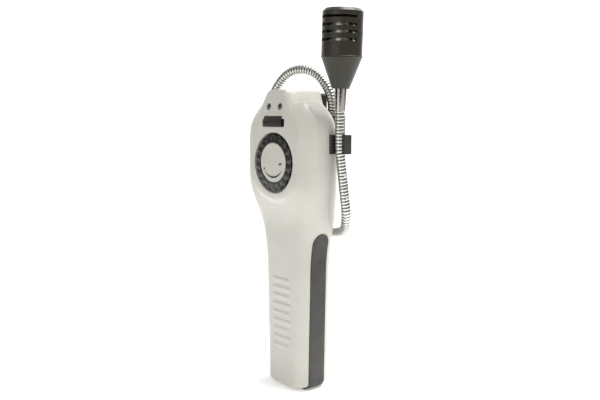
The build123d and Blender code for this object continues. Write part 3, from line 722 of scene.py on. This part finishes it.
def crescent():
    """A growing mark: thin at the left, thickest at the bottom, thin again at the right."""
    outer = []
    inner = []
    for index in range(CRESCENT_STEPS + 1):
        share = index / CRESCENT_STEPS
        angle = math.radians(CRESCENT_START + share * CRESCENT_SWEEP)
        thick = CRESCENT_THIN + CRESCENT_THICK * math.sin(math.pi * share) ** CRESCENT_POWER
        outer.append((CRESCENT * math.cos(angle), DIAL_Z + CRESCENT * math.sin(angle)))
        inner.append(((CRESCENT - thick) * math.cos(angle), DIAL_Z + (CRESCENT - thick) * math.sin(angle)))
    return outer + inner[::-1]


def lamp_rim(name, node):
    """The pale raised ring around a lamp."""
    low_corner, high_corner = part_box(node)
    centre = Vector(((low_corner.x + high_corner.x) / 2, 0.0, LAMP_Z / 1000))
    verts = []
    for index in range(RIM_STEPS):
        turn = 2 * math.pi * index / RIM_STEPS
        for step in range(RIM_SIDES):
            roll = 2 * math.pi * step / RIM_SIDES
            radius = (RIM_RADIUS + RIM_WIDE * math.cos(roll)) / 1000
            depth = (LAMP_FACE_Y - RIM_FORWARD - RIM_RISE * math.sin(roll)) / 1000
            verts.append(Vector((centre.x + radius * math.cos(turn), depth,
                                 centre.z + radius * math.sin(turn))))
    faces = [tuple(reversed(face)) for face in band_faces(RIM_STEPS, RIM_SIDES, closed=True)]
    mesh_piece(name, verts, faces, RIM, "housing")


lamp_rim("ready_lamp_rim", "ready_lamp")
lamp_rim("alarm_lamp_rim", "alarm_lamp")
disc_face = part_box("dial_disc")[0].y * 1000
flat_print("dial_crescent", crescent(), disc_face, "housing")
flat_print("dial_dash", [(6.6, 166.9), (9.9, 167.6), (9.9, 169.0), (6.6, 168.3)], disc_face, "housing")
flat_print("dial_mark", [(-10.9, 163.6), (-9.7, 163.0), (-9.1, 164.6), (-10.3, 165.2)], disc_face, "housing")


# Stage, lights, camera
def build_stage():
    """A pale floor that curves up far behind the object."""
    outline = [(STAGE_NEAR, 0.0), (STAGE_FAR, 0.0)]
    for index in range(1, STAGE_STEPS + 1):
        angle = math.radians(index * 90 / STAGE_STEPS)
        outline.append((STAGE_FAR + STAGE_CURVE * math.sin(angle), STAGE_CURVE * (1 - math.cos(angle))))
    outline.append((STAGE_FAR + STAGE_CURVE, STAGE_TOP))
    turn = Matrix.Rotation(math.radians(CAMERA_TURN), 3, "Z")
    verts = []
    for along, up in outline:
        for across in (-STAGE_HALF, STAGE_HALF):
            verts.append(turn @ Vector((across, along, up)))
    faces = [(2 * i, 2 * i + 1, 2 * i + 3, 2 * i + 2) for i in range(len(outline) - 1)]
    material, bsdf = shader("stage", (0.93, 0.93, 0.93), 0.9, specular=0.1)
    bsdf.inputs["Emission Color"].default_value = (1.0, 1.0, 1.0, 1.0)
    bsdf.inputs["Emission Strength"].default_value = STAGE_GLOW
    bump(material, bsdf, scale=300.0, depth=0.00002)
    floor = mesh_piece("floor", verts, faces, material, None)


def area_light(name, place, size, power):
    """A soft white light that looks at the object's middle."""
    data = bpy.data.lights.new(name, "AREA")
    data.shape = "RECTANGLE"
    data.size, data.size_y = size
    data.energy = power
    light = bpy.data.objects.new(name, data)
    light.location = place
    light.rotation_euler = (Vector(LIGHTS_AIM) - Vector(place)).to_track_quat("-Z", "Y").to_euler()
    bpy.context.scene.collection.objects.link(light)


def build_lights():
    """A surround that grows lighter upwards, a key from above, a fill from the front and one from behind."""
    world = bpy.data.worlds.new("studio")
    bpy.context.scene.world = world
    world.use_nodes = True
    tree = world.node_tree
    place = tree.nodes.new("ShaderNodeTexCoord")
    parts = tree.nodes.new("ShaderNodeSeparateXYZ")
    ramp = tree.nodes.new("ShaderNodeValToRGB")
    for index, level in enumerate(SKY_ENDS):
        ramp.color_ramp.elements[index].position = float(index)
        ramp.color_ramp.elements[index].color = (level, level, level, 1.0)
    for height, level in SKY_STOPS:
        stop = ramp.color_ramp.elements.new(height)
        stop.color = (level, level, level, 1.0)
    tree.links.new(place.outputs["Generated"], parts.inputs["Vector"])
    tree.links.new(parts.outputs["Z"], ramp.inputs["Fac"])
    # The surround itself shows white, while it lights the object as the ramp says
    path = tree.nodes.new("ShaderNodeLightPath")
    mix = tree.nodes.new("ShaderNodeMix")
    mix.data_type = "RGBA"
    first, second = [socket for socket in mix.inputs if socket.type == "RGBA"]
    second.default_value = (SHOWN_WHITE, SHOWN_WHITE, SHOWN_WHITE, 1.0)
    result = next(socket for socket in mix.outputs if socket.type == "RGBA")
    tree.links.new(path.outputs["Is Camera Ray"], mix.inputs["Factor"])
    tree.links.new(ramp.outputs["Color"], first)
    tree.links.new(result, tree.nodes["Background"].inputs["Color"])
    tree.nodes["Background"].inputs["Strength"].default_value = SKY_STRENGTH
    area_light("key", (0.25, 0.30, 1.35), (0.8, 0.8), 25.0)
    area_light("fill", (0.2, -1.2, 0.45), (1.0, 1.0), 3.0)
    area_light("back", (0.1, 1.1, 1.0), (1.2, 0.6), 4.0)


def build_camera():
    """The photograph's view."""
    data = bpy.data.cameras.new("camera")
    data.lens = CAMERA_LENS
    data.sensor_width = CAMERA_SENSOR
    camera = bpy.data.objects.new("camera", data)
    camera.location = CAMERA_PLACE
    camera.rotation_euler = (math.radians(90 - CAMERA_PITCH), 0, math.radians(CAMERA_TURN))
    bpy.context.scene.collection.objects.link(camera)
    bpy.context.scene.camera = camera


bpy.context.scene.view_settings.view_transform = "Standard"
build_stage()
build_lights()
build_camera()
